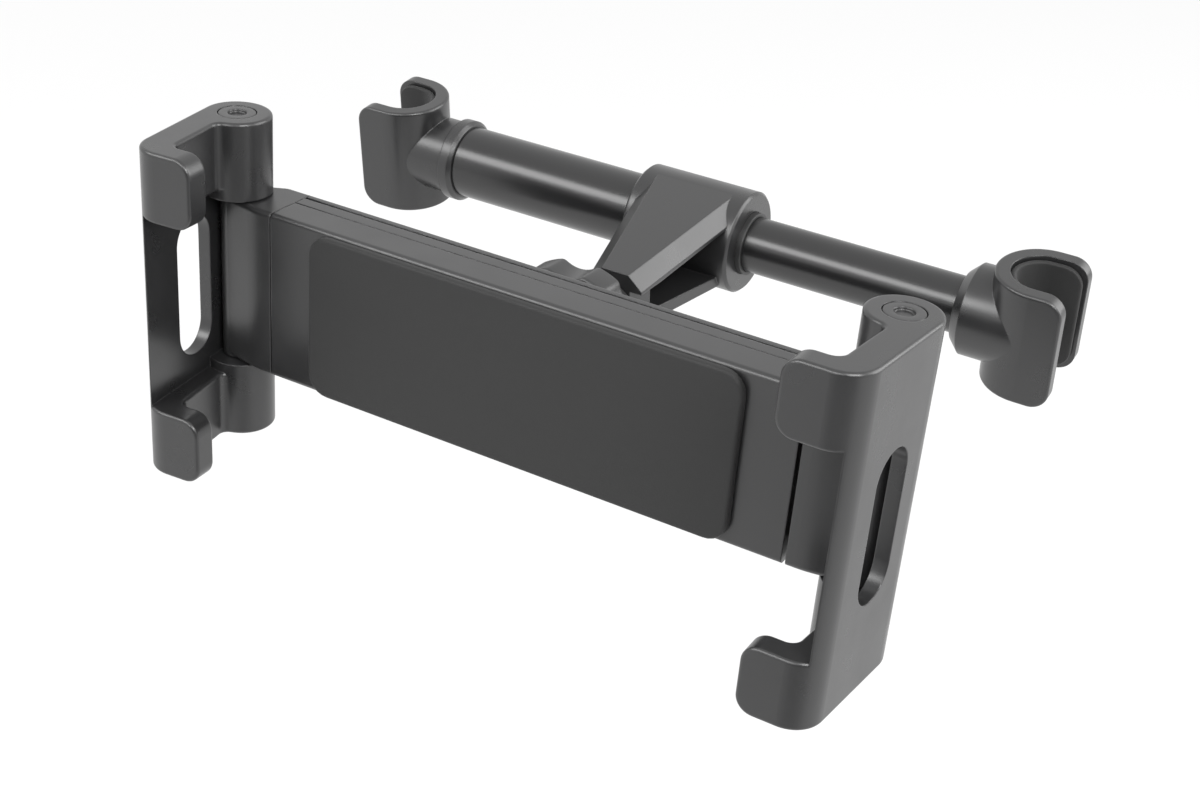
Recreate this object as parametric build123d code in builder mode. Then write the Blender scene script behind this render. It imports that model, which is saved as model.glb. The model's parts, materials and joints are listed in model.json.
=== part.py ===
from build123d import *
import math
import os

# Headrest tablet mount: a sprung telescopic bar that sits between the two headrest posts,
# a bracket on the bar, and a ball-jointed clamp with two sprung arms and folding jaws.
# Millimetres. The origin is the centre of the right post clamp, on the bar's axis.
# +X runs along the bar to the right, -Y faces the passenger, +Z is up along the upright
# panel. The posts, the hooks and the bracket lean back from it, their tops towards the panel.

# Bar and post hooks
post_spacing = 171.0
post_lean_deg = 8.4
post_reach = 7.7
hook_height = 28.0
hook_outer_radius = 11.0
hook_wall = 3.4
hook_corner_radius = 4.5
hook_edge_radius = 0.7
liner_thickness = 1.4
liner_drop = 0.9
neck_radius = 9.4
left_neck_end = 19.5
right_neck_end = 17.4
neck_ring_radius = 10.4
neck_ring_width = 3.4
neck_ring_chamfer = 0.9
wide_neck_radius = 10.8
wide_neck_chamfer = 2.4
spigot_length = 8.0
outer_tube_radius = 9.0
outer_tube_wall = 1.4
inner_tube_radius = 6.7
inner_tube_wall = 1.3
guide_length = 16.0
guide_cap_thickness = 2.0

# Bracket
arm_reach = 55.6
collar_offset = -0.4
collar_length = 28.4
collar_radius = 12.4
collar_rim_chamfer = 0.6
collar_lip_thickness = 1.2
bush_length = 4.0
bush_lip_radius = 7.6
bush_lip_proud = 1.4
arm_root_left = 14.4
arm_root_right = 13.3
arm_end_left = 5.4
arm_end_right = 8.2
arm_side_bevel = 3.4
arm_plate_thickness = 4.2
arm_floor_right = 5.2
arm_floor_thickness = 2.6
arm_web_thickness = 2.6
arm_end_thickness = 7.0
arm_end_top = 10.5
arm_end_floor = 4.6
arm_root_floor = 8.2

# Ball joint
ball_radius = 8.5
ball_behind_panel = 12.0
stem_radius = 3.2
stem_length = 13.0
stem_socket_depth = 6.0
seat_thickness = 1.4
seat_cap_deg = 60.0
seat_ring_from_deg = 62.0
seat_ring_to_deg = 88.0
cup_radius = 12.6
cup_base_radius = 15.5
cup_base_thickness = 3.0
cup_height = 15.0
cup_slot_width = 1.2
nut_radius = 18.3
nut_lobe_depth = 1.9
nut_lobes = 8
nut_lobe_turn_deg = -2.8
nut_start = 4.6
nut_lobe_length = 7.6
nut_cone_length = 7.2
nut_cone_end_radius = 12.0
nut_cone_root_radius = 16.2
nut_mouth_radius = 7.4
nut_edge_radius = 0.8

# Clamp housing
panel_height = 40.0
panel_thickness = 15.0
housing_length = 129.0
housing_edge_radius = 1.2
parting_from_front = 8.5
groove_depth = 0.5
groove_width = 0.8
groove_from_back = 2.6
housing_rim = 4.7
cavity_depth = 9.0
pad_length = 105.4
pad_margin = 0.7
pad_proud = 2.0
pad_corner_radius = 5.0
pad_edge_radius = 0.5
arm_gap_left = 0.3
arm_gap_right = 0.9

# Clamp arms
arm_shoulder_to_pivot = 13.6
arm_flat_length = 4.4
arm_blend_radius = 24.0
tongue_from_middle = 10.5
spring_slot_height = 8.0
spring_slot_end = 6.0
spring_post_radius = 2.2

# Jaws
pivot_depth = 5.9
barrel_radius = 7.7
knuckle_radius = 4.1
jaw_height = 77.0
jaw_reach = 30.9
jaw_lean_deg = 5.0
left_jaw_turn_deg = 4.0
jaw_wall = 7.4
plate_front_thickness = 2.2
jaw_corner_radius = 7.0
jaw_inner_radius = 2.5
jaw_notch_radius = 2.0
hook_block_height = 15.9
jaw_hook_reach = 10.5
jaw_hook_thickness = 5.9
jaw_tip_radius = 4.0
jaw_edge_radius = 0.8
window_centre = 11.7
window_width = 12.4
window_height = 34.0
wrap_deg = 35.0
pin_radius = 1.6
cap_radius = 4.35
cap_thickness = 1.6
cap_dimple_radius = 2.0
cap_dimple_depth = 0.7

# Clearances
running_gap = 0.05
body_gap = 0.3

# Fasteners and springs
housing_screw_radius = 0.9
housing_screw_head_radius = 1.5
housing_screw_head_height = 1.3
housing_screw_length = 9.0
housing_screw_inset_x = 9.0
socket_screw_radius = 1.1
socket_screw_head_radius = 2.1
socket_screw_head_height = 1.4
socket_screw_length = 6.5
socket_screw_circle = 9.4
spring_wire = 1.0
bar_spring_radius = 5.4
bar_spring_turns = 7
arm_spring_radius = 2.8
arm_spring_turns = 8

os.makedirs("parts", exist_ok=True)


def save(part, name):
    """Label one finished piece and write it to its own file."""
    part.label = name
    export_step(part, f"parts/{name}.step")


# Places worked out from the driving sizes
mid_x = -post_spacing / 2
channel_radius = hook_outer_radius - hook_wall
liner_radius = channel_radius - liner_thickness
outer_tube_bore = outer_tube_radius - outer_tube_wall
inner_tube_bore = inner_tube_radius - inner_tube_wall
collar_x = mid_x + collar_offset
collar_left_x = collar_x - collar_length / 2
collar_right_x = collar_x + collar_length / 2
bush_right_x = collar_right_x - collar_lip_thickness
tube_right_x = bush_right_x - bush_length
tube_left_x = -post_spacing + left_neck_end
inner_tube_left_x = tube_right_x - guide_length - body_gap
post_lean = math.radians(post_lean_deg)
ball_y = -arm_reach * math.cos(post_lean)
panel_z = -arm_reach * math.sin(post_lean)
back_y = ball_y - ball_behind_panel
front_y = back_y - panel_thickness
half_height = panel_height / 2
cavity_height = panel_height - 2 * housing_rim
tongue_length = housing_length / 2 - tongue_from_middle
seat_inner_radius = ball_radius + running_gap
seat_outer_radius = seat_inner_radius + seat_thickness
socket_radius = seat_outer_radius + running_gap


def leaning(piece):
    """Turn a piece drawn with upright posts about the bar's axis to the posts' lean."""
    return Rot(post_lean_deg, 0, 0) * piece


# Post hooks. Each is a U-shaped channel, open outwards, with a neck that ends at its tube
# and a spigot inside the tube. They are drawn for the right side, around the post's axis.
def neck_of_swivel_hook():
    """Outline of the slim neck with its ring, as half a section beside the bar's axis."""
    ring_start = left_neck_end - neck_ring_width
    return [
        (0, 0),
        (0, neck_radius),
        (-ring_start, neck_radius),
        (-ring_start, neck_ring_radius),
        (-left_neck_end + neck_ring_chamfer, neck_ring_radius),
        (-left_neck_end, neck_ring_radius - neck_ring_chamfer),
        (-left_neck_end, outer_tube_bore - running_gap),
        (-left_neck_end - spigot_length, outer_tube_bore - running_gap),
        (-left_neck_end - spigot_length, 0),
    ]


def neck_of_fixed_hook():
    """Outline of the wide neck that grips the inner tube, as half a section."""
    return [
        (0, 0),
        (0, wide_neck_radius),
        (-right_neck_end + wide_neck_chamfer, wide_neck_radius),
        (-right_neck_end, wide_neck_radius - wide_neck_chamfer),
        (-right_neck_end, inner_tube_bore),
        (-right_neck_end - spigot_length, inner_tube_bore),
        (-right_neck_end - spigot_length, 0),
    ]


def make_hook(neck_outline):
    """Build one post hook from the half section of its neck."""
    with BuildPart() as hook:
        with BuildSketch(Plane.XY.offset(-hook_height / 2)):
            Circle(hook_outer_radius)
            with Locations((post_reach / 2, 0)):
                Rectangle(post_reach, 2 * hook_outer_radius)
        extrude(amount=hook_height)
        with BuildSketch(Plane.XZ) as side_view:
            with Locations(((post_reach - hook_outer_radius) / 2, 0)):
                Rectangle(post_reach + hook_outer_radius, hook_height)
            fillet(side_view.vertices().group_by(Axis.X)[-1], hook_corner_radius)
        extrude(amount=hook_outer_radius, both=True, mode=Mode.INTERSECT)
        straight = hook.edges().filter_by(Axis.Y) + hook.edges().filter_by(Axis.Z)
        fillet(hook.edges() - straight, hook_edge_radius)
        with BuildSketch(Plane.XY):
            with BuildLine():
                Polyline(neck_outline, close=True)
            make_face()
        revolve(axis=Axis.X)
        with BuildSketch(Plane.XY.offset(-hook_height / 2)):
            Circle(channel_radius)
            with Locations((post_reach / 2, 0)):
                Rectangle(post_reach, 2 * channel_radius)
        extrude(amount=hook_height, mode=Mode.SUBTRACT)
    return hook.part


def make_liner():
    """Build the soft U-shaped lining of one hook's channel."""
    lining_height = hook_height - 2 * liner_drop
    lining_reach = post_reach - liner_drop
    with BuildPart() as liner:
        with BuildSketch(Plane.XY.offset(-lining_height / 2)):
            Circle(channel_radius)
            with Locations((lining_reach / 2, 0)):
                Rectangle(lining_reach, 2 * channel_radius)
            Circle(liner_radius, mode=Mode.SUBTRACT)
            with Locations((lining_reach / 2, 0)):
                Rectangle(lining_reach, 2 * liner_radius, mode=Mode.SUBTRACT)
        extrude(amount=lining_height)
        with BuildSketch(Plane.XZ) as side_view:
            with Locations(((lining_reach - hook_outer_radius) / 2, 0)):
                Rectangle(lining_reach + hook_outer_radius, lining_height)
            fillet(side_view.vertices().group_by(Axis.X)[-1], hook_corner_radius)
        extrude(amount=hook_outer_radius, both=True, mode=Mode.INTERSECT)
    return liner.part


def on_left_post(piece):
    """Mirror a right-hand hook piece and set it, leaning, on the left post."""
    return Pos(-post_spacing, 0, 0) * leaning(mirror(piece, about=Plane.YZ, mode=Mode.PRIVATE))


with BuildPart() as right_hook:
    add(leaning(make_hook(neck_of_fixed_hook())))
save(right_hook.part, "right_hook")

with BuildPart() as right_hook_liner:
    add(leaning(make_liner()))
save(right_hook_liner.part, "right_hook_liner")

with BuildPart() as left_hook:
    add(on_left_post(make_hook(neck_of_swivel_hook())))
save(left_hook.part, "left_hook")

with BuildPart() as left_hook_liner:
    add(on_left_post(make_liner()))
save(left_hook_liner.part, "left_hook_liner")


# Telescopic bar
with BuildPart() as outer_tube:
    with BuildSketch(Plane.YZ.offset(tube_left_x)):
        Circle(outer_tube_radius)
        Circle(outer_tube_bore, mode=Mode.SUBTRACT)
    extrude(amount=tube_right_x - tube_left_x)
save(outer_tube.part, "outer_tube")

with BuildPart() as inner_tube:
    with BuildSketch(Plane.YZ.offset(inner_tube_left_x)):
        Circle(inner_tube_radius)
        Circle(inner_tube_bore, mode=Mode.SUBTRACT)
    extrude(amount=-right_neck_end - inner_tube_left_x)
save(inner_tube.part, "inner_tube")

with BuildPart() as inner_tube_guide:
    with BuildSketch(Plane.YZ.offset(inner_tube_left_x - guide_cap_thickness)):
        Circle(outer_tube_bore - running_gap)
    extrude(amount=guide_cap_thickness)
    with BuildSketch(Plane.YZ.offset(inner_tube_left_x)):
        Circle(outer_tube_bore - running_gap)
        Circle(inner_tube_radius, mode=Mode.SUBTRACT)
    extrude(amount=guide_length)
save(inner_tube_guide.part, "inner_tube_guide")

with BuildPart() as collar_bush:
    with BuildSketch(Plane.YZ.offset(tube_right_x)):
        Circle(outer_tube_radius)
        Circle(inner_tube_radius + running_gap, mode=Mode.SUBTRACT)
    extrude(amount=bush_length)
    with BuildSketch(Plane.YZ.offset(bush_right_x)):
        Circle(bush_lip_radius)
        Circle(inner_tube_radius + running_gap, mode=Mode.SUBTRACT)
    extrude(amount=collar_lip_thickness + bush_lip_proud)
save(collar_bush.part, "collar_bush")


def make_spring(start, direction, length, radius, turns):
    """Build a round coil of square wire from a start point along one direction."""
    coil_length = length - spring_wire
    with BuildPart() as spring:
        with BuildLine():
            first = start + direction * (spring_wire / 2)
            path = Helix(coil_length / turns, coil_length, radius, center=first, direction=direction)
        with BuildSketch(Plane(origin=path @ 0, z_dir=path % 0)):
            RegularPolygon(spring_wire / 2, 4)
        sweep(is_frenet=True)
    return spring.part


bar_spring_left_x = tube_left_x + spigot_length
bar_spring_right_x = inner_tube_left_x - guide_cap_thickness
with BuildPart() as bar_spring:
    add(
        make_spring(
            Vector(bar_spring_left_x, 0, 0),
            Vector(1, 0, 0),
            bar_spring_right_x - bar_spring_left_x,
            bar_spring_radius,
            bar_spring_turns,
        )
    )
save(bar_spring.part, "bar_spring")


# Bracket: a collar round the outer tube and a tapered arm with bevelled sides, hollow on its
# right side, that carries the ball. It is drawn with upright posts and then leaned.
arm_end_y = -arm_reach + stem_length


def arm_side(top_inset, floor_inset, end_inset):
    """List the corners of the arm seen from its right side, inset from top, floor and end."""
    return [
        (0, collar_radius - top_inset),
        (arm_end_y + end_inset, arm_end_top - top_inset),
        (arm_end_y + end_inset, -arm_end_floor + floor_inset),
        (0, -arm_root_floor + floor_inset),
    ]


# The hollow between the arm's top plate, floor and web, open on the right
with BuildPart() as arm_hollow:
    with BuildSketch(Plane.XY):
        with BuildLine():
            Polyline(
                (mid_x - arm_root_left + arm_web_thickness, 0),
                (mid_x + 2 * arm_root_right, 0),
                (mid_x + 2 * arm_root_right, arm_end_y),
                (mid_x - arm_end_left + arm_web_thickness, arm_end_y),
                close=True,
            )
        make_face()
    extrude(amount=2 * collar_radius, both=True)
    with BuildSketch(Plane.YZ.offset(mid_x)):
        with BuildLine():
            Polyline(
                arm_side(arm_plate_thickness, arm_floor_thickness, arm_end_thickness),
                close=True,
            )
        make_face()
    extrude(amount=4 * arm_root_left, both=True, mode=Mode.INTERSECT)

# What the arm's floor leaves free of the plate's width, on the right
with BuildPart() as floor_inset:
    with BuildSketch(Plane.XY.offset(-collar_radius)):
        with BuildLine():
            Polyline(
                (mid_x + arm_root_right, 0),
                (mid_x + 2 * arm_root_right, 0),
                (mid_x + 2 * arm_root_right, arm_end_y),
                (mid_x + arm_floor_right, arm_end_y),
                close=True,
            )
        make_face()
    extrude(amount=collar_radius + arm_end_top - arm_plate_thickness)

with BuildPart() as bracket:
    with BuildSketch(Plane.XY):
        with BuildLine():
            Polyline(
                (mid_x - arm_root_left, 0),
                (mid_x + arm_root_right, 0),
                (mid_x + arm_end_right, arm_end_y),
                (mid_x - arm_end_left, arm_end_y),
                close=True,
            )
        make_face()
    extrude(amount=2 * collar_radius, both=True)
    with BuildSketch(Plane.YZ.offset(mid_x)):
        with BuildLine():
            Polyline(arm_side(0, 0, 0), close=True)
        make_face()
    extrude(amount=2 * arm_root_left, both=True, mode=Mode.INTERSECT)
    plate_rim = bracket.faces().sort_by(Axis.Z)[-1].edges()
    chamfer(plate_rim - plate_rim.filter_by(Axis.X), arm_side_bevel)
    add(arm_hollow.part, mode=Mode.SUBTRACT)
    add(floor_inset.part, mode=Mode.SUBTRACT)
    with BuildSketch(Plane.YZ.offset(collar_left_x)):
        Circle(collar_radius)
    extrude(amount=collar_length)
    ends = bracket.faces().filter_by(Axis.X).sort_by(Axis.X)
    chamfer(ends[-1].edges() + ends[0].edges(), collar_rim_chamfer)
    with BuildSketch(Plane.YZ.offset(collar_left_x)):
        Circle(outer_tube_radius)
    extrude(amount=bush_right_x - collar_left_x, mode=Mode.SUBTRACT)
    with BuildSketch(Plane.YZ.offset(bush_right_x)):
        Circle(bush_lip_radius + running_gap)
    extrude(amount=collar_lip_thickness, mode=Mode.SUBTRACT)
    with BuildSketch(Plane((mid_x, arm_end_y, 0), x_dir=(1, 0, 0), z_dir=(0, 1, 0))):
        Circle(stem_radius)
    extrude(amount=stem_socket_depth, mode=Mode.SUBTRACT)
save(leaning(bracket.part), "bracket")


# Ball joint. The ball and stem lean with the bracket, the rest is turned about the axis from
# the panel's back to the ball.
stud_plane = Plane((mid_x, -arm_reach, 0), x_dir=(1, 0, 0), z_dir=(0, 0, 1))
joint_plane = Plane((mid_x, ball_y, panel_z), x_dir=(1, 0, 0), z_dir=(0, 0, 1))
joint_axis = Axis((mid_x, ball_y, panel_z), (0, 1, 0))


def polar(radius, degrees):
    """Give a half-section point on a sphere, its angle counted from the joint's +Y."""
    return (radius * math.sin(math.radians(degrees)), radius * math.cos(math.radians(degrees)))


with BuildPart() as ball_stud:
    with BuildSketch(stud_plane):
        with BuildLine():
            stem_start = math.sqrt(ball_radius**2 - stem_radius**2)
            tip = stem_length + stem_socket_depth
            ThreePointArc((0, -ball_radius), (ball_radius, 0), (stem_radius, stem_start))
            Polyline((stem_radius, stem_start), (stem_radius, tip), (0, tip), (0, -ball_radius))
        make_face()
    revolve(axis=Axis((mid_x, -arm_reach, 0), (0, 1, 0)))
save(leaning(ball_stud.part), "ball_stud")


def make_seat(from_deg, to_deg):
    """Build a zone of the spherical shell between the ball and its socket."""
    with BuildPart() as seat:
        with BuildSketch(joint_plane):
            with BuildLine():
                middle = (from_deg + to_deg) / 2
                ThreePointArc(
                    polar(seat_inner_radius, from_deg),
                    polar(seat_inner_radius, middle),
                    polar(seat_inner_radius, to_deg),
                )
                Line(polar(seat_inner_radius, to_deg), polar(seat_outer_radius, to_deg))
                ThreePointArc(
                    polar(seat_outer_radius, to_deg),
                    polar(seat_outer_radius, middle),
                    polar(seat_outer_radius, from_deg),
                )
                Line(polar(seat_outer_radius, from_deg), polar(seat_inner_radius, from_deg))
            make_face()
        revolve(axis=joint_axis)
    return seat.part


with BuildPart() as ball_seat:
    add(make_seat(180 - seat_cap_deg, 180))
save(ball_seat.part, "ball_seat")

with BuildPart() as ball_ring:
    add(make_seat(seat_ring_from_deg, seat_ring_to_deg))
save(ball_ring.part, "ball_ring")

cup_bottom = -ball_behind_panel
cup_top = cup_bottom + cup_height
with BuildPart() as ball_socket:
    with BuildSketch(joint_plane):
        with BuildLine():
            Polyline(
                (0, -socket_radius),
                (0, cup_bottom),
                (cup_base_radius, cup_bottom),
                (cup_base_radius, cup_bottom + cup_base_thickness),
                (cup_radius, cup_bottom + cup_base_thickness),
                (cup_radius, cup_top),
                (socket_radius, cup_top),
                (socket_radius, 0),
            )
            ThreePointArc((socket_radius, 0), polar(socket_radius, 135), (0, -socket_radius))
        make_face()
    revolve(axis=joint_axis)
    with BuildSketch(Plane((mid_x, back_y + cup_height, panel_z), x_dir=(1, 0, 0), z_dir=(0, -1, 0))):
        for turn in (45, 135):
            Rectangle(cup_slot_width, 2 * cup_base_radius, rotation=turn)
    extrude(amount=cup_top + ball_radius / 2, mode=Mode.SUBTRACT)
    with BuildSketch(Plane((mid_x, back_y, panel_z), x_dir=(1, 0, 0), z_dir=(0, 1, 0))):
        with PolarLocations(socket_screw_circle, 4, 45):
            Circle(socket_screw_radius)
    screw_bite = socket_screw_length - (panel_thickness - cavity_depth) / 2
    extrude(amount=screw_bite, mode=Mode.SUBTRACT)
save(ball_socket.part, "ball_socket")

nut_bottom = cup_bottom + nut_start
nut_shoulder = nut_bottom + nut_lobe_length
nut_top = nut_shoulder + nut_cone_length
step = cup_top + body_gap
with BuildPart() as clamp_nut:
    with BuildSketch(Plane((mid_x, ball_y + nut_bottom, panel_z), x_dir=(1, 0, 0), z_dir=(0, 1, 0))):
        Circle(nut_radius)
        scallop = nut_radius * math.sin(math.pi / nut_lobes)
        with PolarLocations(nut_radius + scallop - nut_lobe_depth, nut_lobes, nut_lobe_turn_deg + 90):
            Circle(scallop, mode=Mode.SUBTRACT)
    extrude(amount=nut_lobe_length)
    fillet(clamp_nut.edges().filter_by(Axis.Y), nut_edge_radius)
    with BuildSketch(joint_plane):
        with BuildLine():
            Polyline(
                (0, nut_shoulder),
                (nut_cone_root_radius, nut_shoulder),
                (nut_cone_end_radius, nut_top),
                (0, nut_top),
                close=True,
            )
        make_face()
    revolve(axis=joint_axis)
    with BuildSketch(joint_plane):
        with BuildLine():
            mouth_y = math.sqrt(socket_radius**2 - nut_mouth_radius**2)
            shelf = math.sqrt(socket_radius**2 - step**2)
            middle_deg = math.degrees(math.atan2(shelf + nut_mouth_radius, step + mouth_y))
            Polyline(
                (0, nut_top),
                (0, nut_bottom),
                (cup_radius + running_gap, nut_bottom),
                (cup_radius + running_gap, step),
                (shelf, step),
            )
            ThreePointArc((shelf, step), polar(socket_radius, middle_deg), (nut_mouth_radius, mouth_y))
            Polyline(
                (nut_mouth_radius, mouth_y),
                (nut_mouth_radius + nut_top - mouth_y, nut_top),
                (0, nut_top),
            )
        make_face()
    revolve(axis=joint_axis, mode=Mode.SUBTRACT)
save(clamp_nut.part, "clamp_nut")


# Clamp housing: a front and a back shell round one cavity that the two arms slide in
parting_y = front_y + parting_from_front
cavity_front_y = front_y + (panel_thickness - cavity_depth) / 2
cavity_back_y = back_y - (panel_thickness - cavity_depth) / 2
groove_y = back_y - groove_from_back
screw_z = half_height - housing_edge_radius - housing_screw_head_radius - running_gap
screw_x = housing_length / 2 - housing_screw_inset_x

with BuildPart() as housing_front:
    with BuildSketch(Plane.XZ.offset(-front_y)):
        with Locations((mid_x, panel_z)):
            Rectangle(housing_length, panel_height)
    extrude(amount=-parting_from_front)
    long_edges = housing_front.edges().filter_by(Axis.X).group_by(Axis.Y)[0]
    fillet(long_edges, housing_edge_radius)
    with BuildSketch(Plane.XZ.offset(-parting_y)):
        with Locations((mid_x, panel_z)):
            Rectangle(housing_length, cavity_height)
    extrude(amount=parting_y - cavity_front_y, mode=Mode.SUBTRACT)
    with BuildSketch(Plane.XZ.offset(-parting_y)):
        with Locations((mid_x, panel_z)):
            with GridLocations(2 * screw_x, 2 * screw_z, 2, 2):
                Circle(housing_screw_radius)
    extrude(
        amount=housing_screw_length - (back_y - parting_y) + housing_screw_head_height,
        mode=Mode.SUBTRACT,
    )
save(housing_front.part, "housing_front")

with BuildPart() as housing_back:
    with BuildSketch(Plane.XZ.offset(-back_y)):
        with Locations((mid_x, panel_z)):
            Rectangle(housing_length, panel_height)
    extrude(amount=back_y - parting_y)
    long_edges = housing_back.edges().filter_by(Axis.X).group_by(Axis.Y)[-1]
    fillet(long_edges, housing_edge_radius)
    with BuildSketch(Plane.XZ.offset(-cavity_back_y)):
        with Locations((mid_x, panel_z)):
            Rectangle(housing_length, cavity_height)
    extrude(amount=cavity_back_y - parting_y, mode=Mode.SUBTRACT)
    for rim_z in (half_height, -half_height):
        with BuildSketch(Plane.XY.offset(panel_z + rim_z)):
            with Locations((mid_x, groove_y), (mid_x, parting_y)):
                Rectangle(housing_length, groove_width)
        extrude(amount=-math.copysign(groove_depth, rim_z), mode=Mode.SUBTRACT)
    with BuildSketch(Plane.XZ.offset(-cavity_back_y)):
        with Locations((mid_x, panel_z)):
            Circle(spring_post_radius)
    extrude(amount=cavity_depth - body_gap)
    with BuildSketch(Plane.XZ.offset(-back_y)):
        with Locations((mid_x, panel_z)):
            with GridLocations(2 * screw_x, 2 * screw_z, 2, 2):
                Circle(housing_screw_radius)
    extrude(amount=back_y - parting_y, mode=Mode.SUBTRACT)
    with BuildSketch(Plane.XZ.offset(-back_y)):
        with Locations((mid_x, panel_z)):
            with GridLocations(2 * screw_x, 2 * screw_z, 2, 2):
                Circle(housing_screw_head_radius)
    extrude(amount=housing_screw_head_height, mode=Mode.SUBTRACT)
    with BuildSketch(Plane.XZ.offset(-back_y)):
        with Locations((mid_x, panel_z)):
            with PolarLocations(socket_screw_circle, 4, 45):
                Circle(socket_screw_radius)
    extrude(amount=back_y - cavity_back_y, mode=Mode.SUBTRACT)
save(housing_back.part, "housing_back")

with BuildPart() as face_pad:
    with BuildSketch(Plane.XZ.offset(-front_y)):
        with Locations((mid_x, panel_z)):
            RectangleRounded(pad_length, panel_height - 2 * pad_margin, pad_corner_radius)
    extrude(amount=pad_proud)
    fillet(face_pad.faces().sort_by(Axis.Y)[0].edges(), pad_edge_radius)
save(face_pad.part, "face_pad")


def make_screw(head_centre, direction, head_radius, head_height, shank_radius, shank_length):
    """Build one pan-head screw from the top of its head along its direction."""
    with BuildPart() as screw:
        with BuildSketch(Plane(origin=head_centre, z_dir=direction)):
            Circle(head_radius)
        extrude(amount=head_height)
        with BuildSketch(Plane(origin=head_centre + direction * head_height, z_dir=direction)):
            Circle(shank_radius)
        extrude(amount=shank_length - head_height)
        with BuildSketch(Plane(origin=head_centre, z_dir=direction)):
            Rectangle(head_radius, head_radius / 4)
            Rectangle(head_radius / 4, head_radius)
        extrude(amount=head_height / 2, mode=Mode.SUBTRACT)
    return screw.part


with BuildPart() as housing_screws:
    for sx in (-1, 1):
        for sz in (-1, 1):
            add(
                make_screw(
                    Vector(mid_x + sx * screw_x, back_y, panel_z + sz * screw_z),
                    Vector(0, -1, 0),
                    housing_screw_head_radius,
                    housing_screw_head_height,
                    housing_screw_radius,
                    housing_screw_length,
                )
            )
save(housing_screws.part, "housing_screws")

with BuildPart() as socket_screws:
    for quarter in range(4):
        turn = math.radians(90 * quarter + 45)
        add(
            make_screw(
                Vector(
                    mid_x + socket_screw_circle * math.cos(turn),
                    cavity_back_y - socket_screw_head_height,
                    panel_z + socket_screw_circle * math.sin(turn),
                ),
                Vector(0, 1, 0),
                socket_screw_head_radius,
                socket_screw_head_height,
                socket_screw_radius,
                socket_screw_length + socket_screw_head_height,
            )
        )
save(socket_screws.part, "socket_screws")


# Clamp arms, drawn for the right side with the jaw's pivot at the origin
def make_arm():
    """Build a sliding arm: a knuckle, a shoulder as deep as the housing and a forked tongue."""
    shoulder_x = -arm_shoulder_to_pivot
    flat_x = shoulder_x + arm_flat_length
    arm_front = -pivot_depth
    arm_back = panel_thickness - pivot_depth
    tongue_front = arm_front + (panel_thickness - cavity_depth) / 2 + body_gap
    tongue_back = arm_back - (panel_thickness - cavity_depth) / 2 - body_gap
    tongue_end_x = shoulder_x - tongue_length
    with BuildPart() as arm:
        with BuildSketch(Plane.XY.offset(-half_height)) as plan:
            Circle(knuckle_radius)
            with BuildLine():
                Polyline(
                    (shoulder_x, arm_front),
                    (flat_x, arm_front),
                    (0, -knuckle_radius),
                    (0, knuckle_radius),
                    (flat_x / 2, arm_back - jaw_inner_radius),
                    (flat_x, arm_back),
                    (shoulder_x, arm_back),
                    close=True,
                )
            make_face()
            bend = (flat_x, arm_front)
            fillet(plan.vertices().sort_by_distance(bend)[0], arm_blend_radius)
        extrude(amount=panel_height)
        rims = arm.faces().filter_by(Axis.Z)
        long_edges = rims.edges().filter_by(Axis.X)
        fillet(long_edges, housing_edge_radius)
        with BuildSketch(Plane.YZ.offset(shoulder_x)):
            with Locations(((tongue_front + tongue_back) / 2, 0)):
                Rectangle(tongue_back - tongue_front, cavity_height - 2 * body_gap)
        extrude(amount=-tongue_length)
        with BuildSketch(Plane.XZ.offset(-tongue_back)):
            with Locations(((tongue_end_x + shoulder_x - spring_slot_end) / 2, 0)):
                Rectangle(tongue_length - spring_slot_end, spring_slot_height)
        extrude(amount=tongue_back - tongue_front, mode=Mode.SUBTRACT)
        with BuildSketch(Plane.XY.offset(-half_height)):
            Circle(pin_radius + running_gap)
        extrude(amount=panel_height, mode=Mode.SUBTRACT)
    return arm.part


# Jaws, drawn for the right side with the pivot at the origin and the hooks towards -Y
lean = math.radians(jaw_lean_deg)
barrel_gap_z = half_height + body_gap
hook_floor_z = jaw_height / 2 - hook_block_height


def jaw_face_x(from_pivot, y):
    """Place a line parallel to the jaw's outer face, that far from the pivot, at y."""
    return (from_pivot + y * math.sin(lean)) / math.cos(lean)


def jaw_outline():
    """Draw the plan of a hook block: barrel, thick wall, round corner and inward hook."""
    front = -jaw_reach
    inner = front + jaw_hook_thickness
    wall_face = barrel_radius - jaw_wall
    with BuildSketch() as plan:
        with BuildLine():
            Polyline(
                (barrel_radius * math.cos(lean), -barrel_radius * math.sin(lean)),
                (jaw_face_x(barrel_radius, front), front),
                (-jaw_hook_reach, front),
                (-jaw_hook_reach, inner),
                (jaw_face_x(wall_face, inner), inner),
                (jaw_face_x(wall_face, -knuckle_radius), -knuckle_radius),
                close=True,
            )
        make_face()
        Circle(barrel_radius)
        corner = (jaw_face_x(barrel_radius, front), front)
        fillet(plan.vertices().sort_by_distance(corner)[0], jaw_corner_radius)
        pocket = (jaw_face_x(wall_face, inner), inner)
        fillet(plan.vertices().sort_by_distance(pocket)[0], jaw_inner_radius)
        notch = (jaw_face_x(wall_face, -barrel_radius), -barrel_radius)
        fillet(plan.vertices().sort_by_distance(notch)[0], jaw_notch_radius)
    return plan.sketch


def plate_outline():
    """Draw the plan of the thin plate between the hook blocks, wrapped round the knuckle."""
    clear = knuckle_radius + body_gap
    front = -jaw_reach
    inner_front_x = jaw_face_x(barrel_radius, front) - plate_front_thickness
    wrap = math.radians(wrap_deg)
    far = 2 * barrel_radius
    with BuildSketch() as plan:
        add(jaw_outline())
        with BuildLine():
            Polyline(
                (0, 0),
                (clear, 0),
                (inner_front_x, front),
                (far, front),
                (far * math.cos(wrap), far * math.sin(wrap)),
                close=True,
            )
        make_face(mode=Mode.INTERSECT)
        Circle(clear, mode=Mode.SUBTRACT)
    return plan.sketch


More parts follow.
